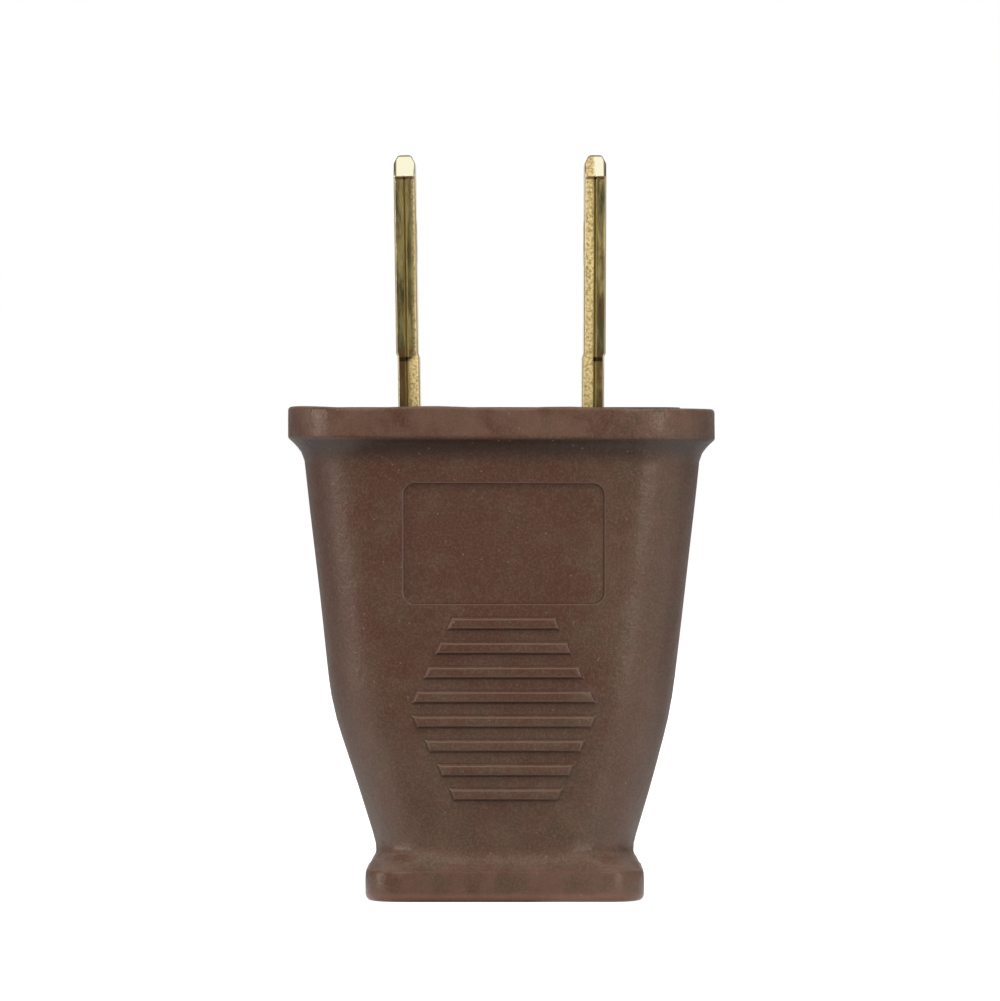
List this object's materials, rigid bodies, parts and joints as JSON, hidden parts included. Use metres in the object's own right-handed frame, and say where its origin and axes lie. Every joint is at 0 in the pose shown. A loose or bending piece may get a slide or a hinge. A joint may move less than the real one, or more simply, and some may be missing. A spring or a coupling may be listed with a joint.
{
  "type": "type a plug",
  "caption": "Tapered moulded mains plug with flat pivoting spring-loaded blades, finger-grip ribs and a cord slot in its foot.",
  "frame": {"origin": "middle of the foot's underside, where the cord slot opens", "axes": "+Z from the foot to the blade tips, +X from the left blade to the right one with the label panel facing -Y"},
  "size_m": [0.0296, 0.0156, 0.0516],
  "materials": {
    "cover_vinyl": "soft matt dark brown vinyl",
    "core_plastic": "dark brown rigid plastic",
    "blade_brass": "rolled brass strip",
    "spring_steel": "spring steel strip"
  },
  "bodies": {
    "housing": {"cover": "cover_vinyl", "core_front": "core_plastic", "core_back": "core_plastic", "spring_left": "spring_steel", "spring_right": "spring_steel"},
    "blade_left": {"blade_left": "blade_brass"},
    "blade_right": {"blade_right": "blade_brass"}
  },
  "joints": [
    {"name": "left_blade_pinch", "type": "hinge", "parent": "housing", "child": "blade_left", "pos_m": [-0.00635, 0, 0.0328], "axis": [0, 1, 0], "range_deg": [0, 10], "stiffness_Nm_per_rad": 0.3, "deforming": ["spring_left"]},
    {"name": "right_blade_pinch", "type": "hinge", "parent": "housing", "child": "blade_right", "pos_m": [0.00635, 0, 0.0328], "axis": [0, -1, 0], "range_deg": [0, 10], "stiffness_Nm_per_rad": 0.3, "deforming": ["spring_right"]}
  ]
}
